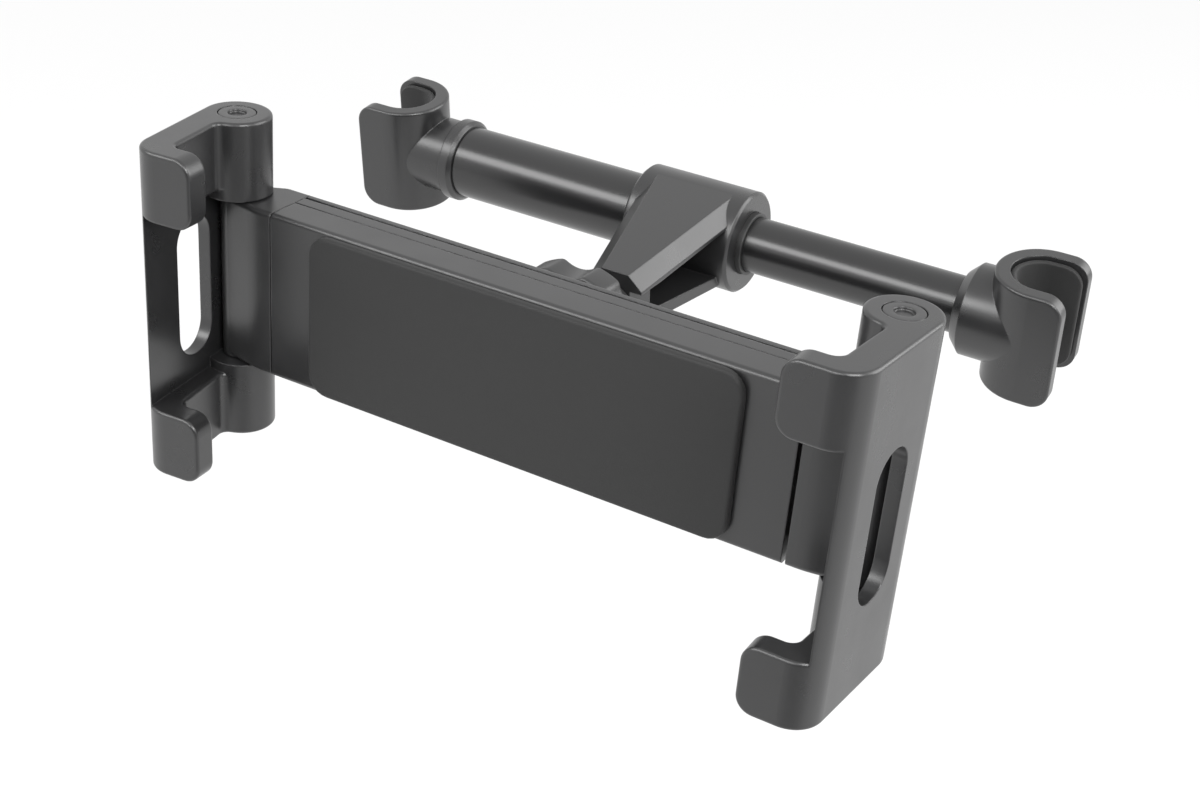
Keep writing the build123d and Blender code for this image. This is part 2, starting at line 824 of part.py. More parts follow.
def make_jaw():
    """Build one folding jaw with its windowed plate, two hook blocks and two barrels."""
    with BuildPart() as jaw:
        with BuildSketch(Plane.XY.offset(-jaw_height / 2)):
            add(plate_outline())
        extrude(amount=jaw_height)
        for side in (-1, 1):
            with BuildSketch(Plane.XY.offset(side * hook_floor_z)):
                add(jaw_outline())
            extrude(amount=side * hook_block_height)
            with BuildSketch(Plane.XY.offset(side * barrel_gap_z)):
                Circle(barrel_radius)
            extrude(amount=side * (jaw_height / 2 - barrel_gap_z))
        tips = jaw.edges().filter_by(Axis.Y).group_by(Axis.X)[0]
        fillet(tips, jaw_tip_radius)
        ends = jaw.faces().filter_by(Axis.Z).group_by(Axis.Z)
        for end in (ends[0], ends[-1]):
            rim = end.edges()
            fillet(rim - rim.filter_by(Axis.Y), jaw_edge_radius)
        with BuildSketch(Plane.YZ):
            with Locations((-window_centre, 0)):
                SlotOverall(window_height, window_width, rotation=90)
        extrude(amount=2 * barrel_radius, mode=Mode.SUBTRACT)
        with BuildSketch(Plane.XY.offset(-jaw_height / 2)):
            Circle(pin_radius)
        extrude(amount=jaw_height, mode=Mode.SUBTRACT)
        for side in (-1, 1):
            with BuildSketch(Plane.XY.offset(side * jaw_height / 2)):
                Circle(cap_radius)
            extrude(amount=-side * cap_thickness, mode=Mode.SUBTRACT)
    return jaw.part


def make_pin():
    """Build the jaw's hinge pin, between the two caps."""
    with BuildPart() as pin:
        with BuildSketch(Plane.XY.offset(-jaw_height / 2 + cap_thickness)):
            Circle(pin_radius)
        extrude(amount=jaw_height - 2 * cap_thickness)
    return pin.part


def make_caps():
    """Build the two round plugs, each with a shallow dimple, that close the barrels."""
    with BuildPart() as caps:
        for side in (-1, 1):
            with BuildSketch(Plane.XY.offset(side * jaw_height / 2)):
                Circle(cap_radius)
            extrude(amount=-side * cap_thickness)
            with BuildSketch(Plane.XY.offset(side * jaw_height / 2)):
                Circle(cap_dimple_radius)
            extrude(amount=-side * cap_dimple_depth, mode=Mode.SUBTRACT)
    return caps.part


pivot_from_mid = housing_length / 2 + arm_shoulder_to_pivot
pivot_y = front_y + pivot_depth


def on_right(piece):
    """Set a jaw or arm piece at the right pivot."""
    return Pos(mid_x + pivot_from_mid + arm_gap_right, pivot_y, panel_z) * piece


def on_left(piece):
    """Mirror a jaw or arm piece and set it at the left pivot."""
    place = Pos(mid_x - pivot_from_mid - arm_gap_left, pivot_y, panel_z)
    return place * mirror(piece, about=Plane.YZ, mode=Mode.PRIVATE)


for side_name, set_on, turn_deg in (("right", on_right, 0), ("left", on_left, left_jaw_turn_deg)):
    with BuildPart() as clamp_arm:
        add(set_on(make_arm()))
    save(clamp_arm.part, f"{side_name}_arm")
    with BuildPart() as jaw_piece:
        add(set_on(Rot(0, 0, -turn_deg) * make_jaw()))
    save(jaw_piece.part, f"{side_name}_jaw")
    with BuildPart() as jaw_pin:
        add(set_on(make_pin()))
    save(jaw_pin.part, f"{side_name}_jaw_pin")
    with BuildPart() as pin_caps:
        add(set_on(make_caps()))
    save(pin_caps.part, f"{side_name}_pin_caps")

# Arm springs, between the housing's middle post and the end of each tongue's slot
spring_span = housing_length / 2 - spring_slot_end - spring_post_radius
spring_y = (cavity_front_y + cavity_back_y) / 2
for side_name, side, gap in (("right", 1, arm_gap_right), ("left", -1, arm_gap_left)):
    with BuildPart() as arm_spring:
        add(
            make_spring(
                Vector(mid_x + side * spring_post_radius, spring_y, panel_z),
                Vector(side, 0, 0),
                spring_span + gap,
                arm_spring_radius,
                arm_spring_turns,
            )
        )
    save(arm_spring.part, f"{side_name}_arm_spring")
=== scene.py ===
"""Looks of the headrest tablet mount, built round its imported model.

All lengths are in metres, in the model's own frame: +X along the bar, +Y away from the
passenger, +Z up. Sizes in the classes are in millimetres and pass through MM.
"""

import json
import logging
import math
from collections.abc import Sequence
from dataclasses import dataclass, field
from enum import Enum

import bmesh
import bpy
from mathutils import Matrix, Vector


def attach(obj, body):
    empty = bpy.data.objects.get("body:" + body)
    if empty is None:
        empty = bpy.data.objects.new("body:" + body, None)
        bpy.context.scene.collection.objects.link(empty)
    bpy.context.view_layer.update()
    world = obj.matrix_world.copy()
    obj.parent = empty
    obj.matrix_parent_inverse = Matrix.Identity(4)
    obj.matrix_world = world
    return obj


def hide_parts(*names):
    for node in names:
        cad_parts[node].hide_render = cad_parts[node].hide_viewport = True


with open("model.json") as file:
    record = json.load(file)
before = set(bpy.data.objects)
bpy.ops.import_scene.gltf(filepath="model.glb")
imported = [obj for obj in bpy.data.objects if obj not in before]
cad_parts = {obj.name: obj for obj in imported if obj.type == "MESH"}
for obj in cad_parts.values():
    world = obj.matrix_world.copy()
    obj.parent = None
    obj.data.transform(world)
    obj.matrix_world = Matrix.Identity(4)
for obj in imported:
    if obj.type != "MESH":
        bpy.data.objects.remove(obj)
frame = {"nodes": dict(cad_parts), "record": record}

log = logging.getLogger("tablet_mount")

MM = 0.001
CORNER_STEPS = 6
SHARP_DEG = 38
MERGE_MM = 1e-4

# Grain: where specks start and how fast they brighten, and the scale of the mottling
SPECK_FROM = 0.58
SPECK_GAIN = 5.0
MOTTLE_SCALE = 90.0

# Soft edges: radius, the bend that counts as an edge, and the scale of the patches that break up
# the painted highlight on edges
EDGE_RADIUS = 0.45 * MM
EDGE_FROM = 0.04
EDGE_GAIN = 7.0
HIGHLIGHT_PATCH_SCALE = 260.0
HIGHLIGHT_PATCH_GAIN = 2.5

# Noise values between which tone and roughness wander, since noise seldom goes further
NOISE_LOW, NOISE_HIGH = 0.3, 0.7


class Lay(Enum):
    """Directions in which a finish's fine lines can run."""

    NONE = (1.0, 1.0, 1.0)
    ALONG_BAR = (0.05, 1.0, 1.0)


class Layout(Enum):
    """Ways in which a set of equal screws is laid out."""

    GRID = "grid"
    RING = "ring"


# Shared shader effects


def new_group(name: str, inputs: dict[str, float], outputs: dict[str, str]) -> bpy.types.NodeTree:
    """Start a shader node group.

    Args:
        name: The group's name.
        inputs: Input names and their default values.
        outputs: Output names and their socket types.

    Returns:
        The group, with its input and output nodes placed.
    """
    tree = bpy.data.node_groups.new(name, "ShaderNodeTree")
    for label, value in inputs.items():
        socket = tree.interface.new_socket(label, in_out="INPUT", socket_type="NodeSocketFloat")
        socket.default_value = value
    for label, kind in outputs.items():
        tree.interface.new_socket(label, in_out="OUTPUT", socket_type=kind)
    tree.nodes.new("NodeGroupInput").name = "in"
    tree.nodes.new("NodeGroupOutput").name = "out"
    return tree


def math_node(tree: bpy.types.NodeTree, operation: str, *values: object) -> bpy.types.NodeSocket:
    """Add a math node and fill its sockets.

    Args:
        tree: The tree it goes into.
        operation: Blender's name of the operation.
        values: Numbers, or output sockets to link from.

    Returns:
        The node's result socket.
    """
    node = tree.nodes.new("ShaderNodeMath")
    node.operation = operation
    for index, value in enumerate(values):
        if isinstance(value, (int, float)):
            node.inputs[index].default_value = value
        else:
            tree.links.new(value, node.inputs[index])
    return node.outputs[0]


def make_grain_group() -> bpy.types.NodeTree:
    """Build the moulded grain: fine eroded pits with faint larger mottling and specks.

    Returns:
        A group with Size and Stretch inputs, and Height, Tone and Speck outputs.
    """
    tree = new_group(
        "moulded_grain",
        {"Size": 0.0004, "Stretch X": 1.0, "Stretch Y": 1.0, "Stretch Z": 1.0},
        {"Height": "NodeSocketFloat", "Tone": "NodeSocketFloat", "Speck": "NodeSocketFloat"},
    )
    start, end = tree.nodes["in"], tree.nodes["out"]
    coords = tree.nodes.new("ShaderNodeTexCoord")
    stretch = tree.nodes.new("ShaderNodeCombineXYZ")
    for axis in "XYZ":
        tree.links.new(start.outputs[f"Stretch {axis}"], stretch.inputs[axis])
    scaled = tree.nodes.new("ShaderNodeVectorMath")
    scaled.operation = "MULTIPLY"
    tree.links.new(coords.outputs["Object"], scaled.inputs[0])
    tree.links.new(stretch.outputs[0], scaled.inputs[1])
    frequency = math_node(tree, "DIVIDE", 1.0, start.outputs["Size"])
    fine = tree.nodes.new("ShaderNodeTexNoise")
    fine.inputs["Detail"].default_value = 2.0
    fine.inputs["Roughness"].default_value = 0.6
    tree.links.new(scaled.outputs[0], fine.inputs["Vector"])
    tree.links.new(frequency, fine.inputs["Scale"])
    pits = tree.nodes.new("ShaderNodeTexVoronoi")
    pits.feature = "SMOOTH_F1"
    tree.links.new(scaled.outputs[0], pits.inputs["Vector"])
    tree.links.new(frequency, pits.inputs["Scale"])
    height = math_node(tree, "MULTIPLY_ADD", pits.outputs["Distance"], 0.5, fine.outputs["Fac"])
    tree.links.new(height, end.inputs["Height"])
    mottle = tree.nodes.new("ShaderNodeTexNoise")
    mottle.inputs["Scale"].default_value = MOTTLE_SCALE
    mottle.inputs["Detail"].default_value = 4.0
    tree.links.new(scaled.outputs[0], mottle.inputs["Vector"])
    tree.links.new(mottle.outputs["Fac"], end.inputs["Tone"])
    speck = math_node(tree, "SUBTRACT", fine.outputs["Fac"], SPECK_FROM)
    bright = math_node(tree, "MULTIPLY", speck, SPECK_GAIN)
    bright.node.use_clamp = True
    tree.links.new(bright, end.inputs["Speck"])
    return tree


def make_edge_group() -> bpy.types.NodeTree:
    """Build the softened edge: a rounded normal, and a mask of where an edge is near, broken into
    patches, for a painted highlight.

    Returns:
        A group with a Break input, a Normal output, and a mask output for the painted edge
        highlight.
    """
    tree = new_group(
        "soft_edge",
        {"Break": 0.3},
        {"Normal": "NodeSocketVector", "Mask": "NodeSocketFloat"},
    )
    start, end = tree.nodes["in"], tree.nodes["out"]
    bevel = tree.nodes.new("ShaderNodeBevel")
    bevel.samples = 6
    bevel.inputs["Radius"].default_value = EDGE_RADIUS
    geometry = tree.nodes.new("ShaderNodeNewGeometry")
    turned = tree.nodes.new("ShaderNodeVectorMath")
    turned.operation = "DOT_PRODUCT"
    tree.links.new(bevel.outputs["Normal"], turned.inputs[0])
    tree.links.new(geometry.outputs["Normal"], turned.inputs[1])
    bend = math_node(tree, "SUBTRACT", 1.0, turned.outputs["Value"])
    past = math_node(tree, "SUBTRACT", bend, EDGE_FROM)
    near = math_node(tree, "MULTIPLY", past, EDGE_GAIN)
    near.node.use_clamp = True
    # Noise that breaks the painted edge highlight into patches.
    coords = tree.nodes.new("ShaderNodeTexCoord")
    highlight_patches = tree.nodes.new("ShaderNodeTexNoise")
    highlight_patches.inputs["Scale"].default_value = HIGHLIGHT_PATCH_SCALE
    tree.links.new(coords.outputs["Object"], highlight_patches.inputs["Vector"])
    patch = math_node(tree, "SUBTRACT", highlight_patches.outputs["Fac"], start.outputs["Break"])
    kept = math_node(tree, "MULTIPLY", patch, HIGHLIGHT_PATCH_GAIN)
    kept.node.use_clamp = True
    tree.links.new(math_node(tree, "MULTIPLY", near, kept), end.inputs["Mask"])
    tree.links.new(bevel.outputs["Normal"], end.inputs["Normal"])
    return tree


# Finishes


@dataclass(frozen=True)
class Finish:
    """One surface finish of the mount.

    Attributes:
        name: The material's name.
        tone: Linear grey level of the bare surface.
        tint: Blue shift of the grey, where 0 is neutral.
        roughness: Middle roughness.
        roughness_spread: How far roughness wanders over the surface.
        grain_size: Size of the moulded grain.
        grain_depth: Bump distance of the grain.
        tone_spread: How far the grey wanders over the surface.
        speck_lift: How much lighter the finest specks of the grain are.
        painted_edge_highlight: How much lighter the painted highlight on edges is.
        metallic: 1 for bare metal, 0 for plastic and rubber.
        specular: Strength of the surface's mirrored part, 0.5 for plain plastic.
        sheen: Weight of the soft sheen that rubber shows.
        lay: Direction in which fine lines run.
    """

    name: str
    tone: float
    tint: float = 0.0
    roughness: float = 0.45
    roughness_spread: float = 0.04
    grain_size: float = 0.42 * MM
    grain_depth: float = 0.004 * MM
    tone_spread: float = 0.05
    speck_lift: float = 0.1
    # How much the base colour is lightened at edges, a painted highlight.
    painted_edge_highlight: float = 0.8
    metallic: float = 0.0
    specular: float = 0.75
    sheen: float = 0.0
    lay: Lay = Lay.NONE

    def build(self, grain: bpy.types.NodeTree, edge: bpy.types.NodeTree) -> bpy.types.Material:
        """Build the finish as a node-based material.

        Args:
            grain: The shared moulded grain group.
            edge: The shared softened edge group.

        Returns:
            The material.
        """
        material = bpy.data.materials.new(self.name)
        material.use_nodes = True
        tree = material.node_tree
        shader = tree.nodes["Principled BSDF"]
        shader.inputs["Metallic"].default_value = self.metallic
        shader.inputs["Specular IOR Level"].default_value = self.specular
        shader.inputs["Sheen Weight"].default_value = self.sheen
        texture = tree.nodes.new("ShaderNodeGroup")
        texture.node_tree = grain
        texture.inputs["Size"].default_value = self.grain_size
        for axis, stretch in zip("XYZ", self.lay.value):
            texture.inputs[f"Stretch {axis}"].default_value = stretch
        edges = tree.nodes.new("ShaderNodeGroup")
        edges.node_tree = edge

        tone = tree.nodes.new("ShaderNodeValToRGB")
        tone.color_ramp.elements[0].position = NOISE_LOW
        tone.color_ramp.elements[1].position = NOISE_HIGH
        tone.color_ramp.elements[0].color = self.colour(1 - self.tone_spread)
        tone.color_ramp.elements[1].color = self.colour(1 + self.tone_spread)
        tree.links.new(texture.outputs["Tone"], tone.inputs["Fac"])
        # The edge mask paints a highlight into the base colour; the specks are the grain's own.
        specks, highlight_patches = texture.outputs["Speck"], edges.outputs["Mask"]
        specked = self.lighten(tree, tone.outputs["Color"], specks, self.speck_lift)
        lifted = self.lighten(tree, specked, highlight_patches, self.painted_edge_highlight)
        tree.links.new(lifted, shader.inputs["Base Color"])

        rough = tree.nodes.new("ShaderNodeMapRange")
        rough.inputs["From Min"].default_value = NOISE_LOW
        rough.inputs["From Max"].default_value = NOISE_HIGH
        rough.inputs["To Min"].default_value = self.roughness - self.roughness_spread
        rough.inputs["To Max"].default_value = self.roughness + self.roughness_spread
        tree.links.new(texture.outputs["Tone"], rough.inputs["Value"])
        tree.links.new(rough.outputs["Result"], shader.inputs["Roughness"])

        bump = tree.nodes.new("ShaderNodeBump")
        bump.inputs["Distance"].default_value = self.grain_depth
        tree.links.new(texture.outputs["Height"], bump.inputs["Height"])
        tree.links.new(edges.outputs["Normal"], bump.inputs["Normal"])
        tree.links.new(bump.outputs["Normal"], shader.inputs["Normal"])
        return material

    def lighten(
        self,
        tree: bpy.types.NodeTree,
        colour: bpy.types.NodeSocket,
        mask: bpy.types.NodeSocket,
        lift: float,
    ) -> bpy.types.NodeSocket:
        """Mix a lighter grey in where a mask is set.

        Args:
            tree: The material's tree.
            colour: The colour below.
            mask: Where the lighter grey shows.
            lift: How much lighter it is.

        Returns:
            The mixed colour's socket.
        """
        mix = tree.nodes.new("ShaderNodeMix")
        mix.data_type = "RGBA"
        tree.links.new(mask, mix.inputs["Factor"])
        tree.links.new(colour, mix.inputs[6])
        mix.inputs[7].default_value = self.colour(1 + lift)
        return mix.outputs[2]

    def colour(self, factor: float) -> tuple[float, float, float, float]:
        """Give the finish's grey, made lighter or darker by a factor."""
        level = self.tone * factor
        return (level, level, level * (1 + self.tint), 1.0)


FINISHES = (
    Finish("hook_plastic", tone=0.016, tint=0.03, roughness=0.3),
    Finish("bracket_plastic", tone=0.016, tint=0.03, roughness=0.3),
    Finish("housing_plastic", tone=0.017, tint=0.03, roughness=0.32),
    Finish("jaw_plastic", tone=0.016, tint=0.03, roughness=0.3),
    Finish("nut_plastic", tone=0.015, tint=0.03, roughness=0.36),
    Finish("cap_plastic", tone=0.016, tint=0.03, roughness=0.3),
    Finish("inner_plastic", tone=0.012, roughness=0.5, speck_lift=0.05),
    Finish(
        "tube_metal",
        tone=0.008,
        tint=0.03,
        roughness=0.24,
        roughness_spread=0.03,
        grain_size=0.3 * MM,
        grain_depth=0.005 * MM,
        lay=Lay.ALONG_BAR,
    ),
    Finish("ball_metal", tone=0.18, roughness=0.3, metallic=0.9),
    Finish("spring_steel", tone=0.42, roughness=0.3, metallic=1.0),
    Finish("screw_steel", tone=0.36, roughness=0.32, metallic=1.0),
    Finish(
        "liner_rubber",
        tone=0.012,
        specular=0.4,
        roughness=0.62,
        grain_depth=0.015 * MM,
        sheen=0.1,
    ),
    Finish(
        "pad_rubber",
        tone=0.018,
        specular=0.35,
        roughness=0.62,
        grain_depth=0.015 * MM,
        sheen=0.05,
    ),
)


class FinishShop:
    """Builds each finish once and puts it on pieces."""

    def __init__(self) -> None:
        """Build the shared effects and every finish."""
        grain = make_grain_group()
        edge = make_edge_group()
        self.materials = {one.name: one.build(grain, edge) for one in FINISHES}
        self.slots = {one["node"]: one["material_slot"] for one in frame["record"]["subparts"]}

    def dress_node(self, node: str) -> None:
        """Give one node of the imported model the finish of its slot.

        Args:
            node: The node's name.
        """
        data = frame["nodes"][node].data
        data.materials.clear()
        data.materials.append(self.materials[self.slots[node]])
        log.info("%s: node dressed as %s", node, self.slots[node])

    def settle(self, piece: bpy.types.Object, body: str, node: str) -> None:
        """Dress a piece that stands for a node, seat it on its body and report it.

        Args:
            piece: The finished piece.
            body: The body that it rides on.
            node: The node that it replaces.
        """
        slot = self.slots[node]
        piece.data.materials.clear()
        piece.data.materials.append(self.materials[slot])
        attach(piece, body)
        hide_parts(node)
        log.info("%s: %d faces, dressed as %s", piece.name, len(piece.data.polygons), slot)


# Shapes


def soften(corners: Sequence[tuple[float, float, float]]) -> list[Vector]:
    """Round the corners of a flat outline with true arcs.

    Args:
        corners: Each corner as x, y and its radius, where 0 leaves it sharp.

    Returns:
        The outline's points, in the same order.
    """
    points = []
    for index, (x, y, radius) in enumerate(corners):
        here = Vector((x, y))
        if radius == 0:
            points.append(here)
            continue
        before = Vector(corners[index - 1][:2]) - here
        after = Vector(corners[(index + 1) % len(corners)][:2]) - here
        half = before.angle(after) / 2
        reach = radius / math.tan(half)
        first = here + before.normalized() * reach
        last = here + after.normalized() * reach
        for step in range(CORNER_STEPS + 1):
            share = step / CORNER_STEPS
            start, end = (1 - share) ** 2, share**2
            middle = 2 * math.sin(half) * share * (1 - share)
            points.append((first * start + here * middle + last * end) / (start + middle + end))
    return points


def skin(mesh: bmesh.types.BMesh, rings: Sequence[Sequence[Vector]]) -> None:
    """Skin closed rings of equal length and cap both ends.

    Args:
        mesh: The mesh that the faces go into.
        rings: The rings, in order.
    """
    verts = [[mesh.verts.new(point) for point in ring] for ring in rings]
    for low, high in zip(verts, verts[1:]):
        for index, corner in enumerate(low):
            after = (index + 1) % len(low)
            mesh.faces.new((corner, low[after], high[after], high[index]))
    mesh.faces.new(verts[0][::-1])
    mesh.faces.new(verts[-1])


def spin(mesh: bmesh.types.BMesh, profile: Sequence[Vector], steps: int, closed: bool) -> None:
    """Spin a profile of radius and height round the local Z axis.

    Args:
        mesh: The mesh that the faces go into.
        profile: Points of radius and height.
        steps: Number of steps in the full turn.
        closed: Whether the profile's last point joins its first.
    """
    rings = []
    for step in range(steps):
        turn = 2 * math.pi * step / steps
        ring = [(r * math.cos(turn), r * math.sin(turn), height) for r, height in profile]
        rings.append([mesh.verts.new(point) for point in ring])
    last = len(profile) if closed else len(profile) - 1
    for step, ring in enumerate(rings):
        following = rings[(step + 1) % steps]
        for index in range(last):
            after = (index + 1) % len(profile)
            mesh.faces.new((ring[index], ring[after], following[after], following[index]))


def close_piece(
    name: str, mesh: bmesh.types.BMesh, place: Matrix | None = None
) -> bpy.types.Object:
    """Turn a mesh into a finished piece with merged points and outward normals.

    Args:
        name: The piece's name.
        mesh: The mesh, in millimetres, which is used up.
        place: Where the mesh goes, in millimetres, if it isn't in place already.

    Returns:
        The piece, its object at the origin.
    """
    bmesh.ops.remove_doubles(mesh, verts=mesh.verts, dist=MERGE_MM)
    bmesh.ops.recalc_face_normals(mesh, faces=mesh.faces)
    bmesh.ops.transform(mesh, matrix=Matrix.Scale(MM, 4) @ (place or Matrix()), verts=mesh.verts)
    data = bpy.data.meshes.new(name)
    mesh.to_mesh(data)
    mesh.free()
    smooth(data)
    piece = bpy.data.objects.new(name, data)
    bpy.context.scene.collection.objects.link(piece)
    return piece


def smooth(data: bpy.types.Mesh) -> None:
    """Shade a mesh smooth, with its real corners kept sharp."""
    data.shade_smooth()
    data.set_sharp_from_angle(angle=math.radians(SHARP_DEG))


def new_form(name: str, inputs: dict[str, float]) -> bpy.types.NodeTree:
    """Start a geometry node tree with one geometry in and one out.

    Args:
        name: The tree's name.
        inputs: Input names and their values, whole numbers for counts and seeds.

    Returns:
        The tree, with its input and output nodes placed.
    """
    tree = bpy.data.node_groups.new(name, "GeometryNodeTree")
    tree.interface.new_socket("Geometry", in_out="INPUT", socket_type="NodeSocketGeometry")
    for label, value in inputs.items():
        kind = "NodeSocketInt" if isinstance(value, int) else "NodeSocketFloat"
        socket = tree.interface.new_socket(label, in_out="INPUT", socket_type=kind)
        socket.default_value = value
    tree.interface.new_socket("Geometry", in_out="OUTPUT", socket_type="NodeSocketGeometry")
    tree.nodes.new("NodeGroupInput").name = "in"
    tree.nodes.new("NodeGroupOutput").name = "out"
    return tree


def end_form(
    tree: bpy.types.NodeTree, shape: bpy.types.NodeSocket, material: bpy.types.Material
) -> None:
    """End a geometry node tree with real geometry in one material.

    Args:
        tree: The tree.
        shape: The geometry so far.
        material: The material that it ends with.
    """
    real = tree.nodes.new("GeometryNodeRealizeInstances")
    painted = tree.nodes.new("GeometryNodeSetMaterial")
    painted.inputs["Material"].default_value = material
    tree.links.new(shape, real.inputs[0])
    tree.links.new(real.outputs[0], painted.inputs["Geometry"])
    tree.links.new(painted.outputs[0], tree.nodes["out"].inputs[0])


def grow(piece: bpy.types.Object, tree: bpy.types.NodeTree, values: dict[str, float]) -> None:
    """Run a geometry node tree on a piece and keep its result as the piece's mesh.

    Args:
        piece: The piece that carries the starting mesh.
        tree: The tree.
        values: The values of its named inputs.
    """
    modifier = piece.modifiers.new(tree.name, "NODES")
    modifier.node_group = tree
    for item in tree.interface.items_tree:
        if item.in_out == "INPUT" and item.name in values:
            modifier[item.identifier] = values[item.name]
    graph = bpy.context.evaluated_depsgraph_get()
    grown = bpy.data.meshes.new_from_object(piece.evaluated_get(graph))
    piece.modifiers.remove(modifier)
    piece.data = grown
    smooth(grown)


# Pieces


@dataclass
class PostHooks:
    """The two hooks round the headrest posts, with their soft liners.

    Attributes:
        spacing: Distance between the posts.
        lean: Lean of the posts, in degrees, their tops towards the passenger.
        inner: Radius of the liner's inner face.
        outer: Radius of the liner's outer face.
        reach: How far the liner's sides reach past the post's axis.
        half_height: Half the liner's height.
        corner: Radius of the liner's outer corners, seen from the side.
        lip: Rounding of the liner's inner rim.
        rim: Rounding of the liner's outer rim, which leaves a groove beside the hook.
        arc_steps: Steps of the half turn round the post.
    """

    spacing: float = 171.0
    lean: float = 8.4
    inner: float = 6.2
    outer: float = 7.57
    reach: float = 6.8
    half_height: float = 13.1
    corner: float = 4.5
    lip: float = 0.55
    rim: float = 0.75
    arc_steps: int = 40

    def build(self, shop: FinishShop) -> None:
        """Build both liners and dress both hooks."""
        for node in ("right_hook", "left_hook"):
            shop.dress_node(node)
        lean = Matrix.Rotation(math.radians(self.lean), 4, "X")
        across = Matrix.Translation((-self.spacing, 0, 0)) @ Matrix.Scale(-1, 4, (1, 0, 0))
        right = close_piece("right_liner", self.draw_liner(), lean)
        shop.settle(right, "right_post_side", "right_hook_liner")
        left = close_piece("left_liner", self.draw_liner(), across @ lean)
        left.data.flip_normals()
        shop.settle(left, "left_post_hook", "left_hook_liner")

    def draw_liner(self) -> bmesh.types.BMesh:
        """Draw one liner as a rounded band that follows the hook's channel."""
        # The last stations draw the section in, which rounds the free ends.
        ends = [(self.reach - 0.4, 0.0), (self.reach - 0.12, 0.12), (self.reach, 0.4)]
        flat_end = self.reach - self.corner
        curve = [flat_end + self.corner * math.sin(math.radians(step * 8.0)) for step in range(8)]
        side = [(x, 0.0) for x in curve] + ends
        mesh = bmesh.new()
        rings = [self.draw_ring(x, -90.0, inset) for x, inset in reversed(side)]
        for step in range(self.arc_steps + 1):
            rings.append(self.draw_ring(0.0, -90.0 - 180.0 * step / self.arc_steps, 0.0))
        rings += [self.draw_ring(x, 90.0, inset) for x, inset in side]
        skin(mesh, rings)
        return mesh

    def draw_ring(self, x: float, outward_deg: float, inset: float) -> list[Vector]:
        """Draw the band's section at one place.

        Args:
            x: Place along the hook's straight sides.
            outward_deg: Direction from the liner's inner face to its outer one.
            inset: How far the section is drawn in, at the band's rounded ends.

        Returns:
            The section's points.
        """
        past = max(x - (self.reach - self.corner), 0.0)
        height = self.half_height - self.corner + math.sqrt(self.corner**2 - past**2) - inset
        inner, outer = self.inner + inset, self.outer - inset
        thickness = outer - inner
        lip = min(self.lip, 0.4 * thickness)
        rim = min(self.rim, 0.55 * thickness)
        outside = [(outer, -height, rim), (outer, height, rim)]
        section = soften(outside + [(inner, height, lip), (inner, -height, lip)])
        turn = math.radians(outward_deg)
        return [Vector((x + r * math.cos(turn), r * math.sin(turn), z)) for r, z in section]


@dataclass
class TelescopicBar:
    """The sprung bar: the tubes, the guide, the bush and the spring."""

    nodes: tuple[str, ...] = (
        "outer_tube",
        "inner_tube",
        "inner_tube_guide",
        "collar_bush",
        "bar_spring",
    )

    def build(self, shop: FinishShop) -> None:
        """Dress the bar's nodes."""
        for node in self.nodes:
            shop.dress_node(node)


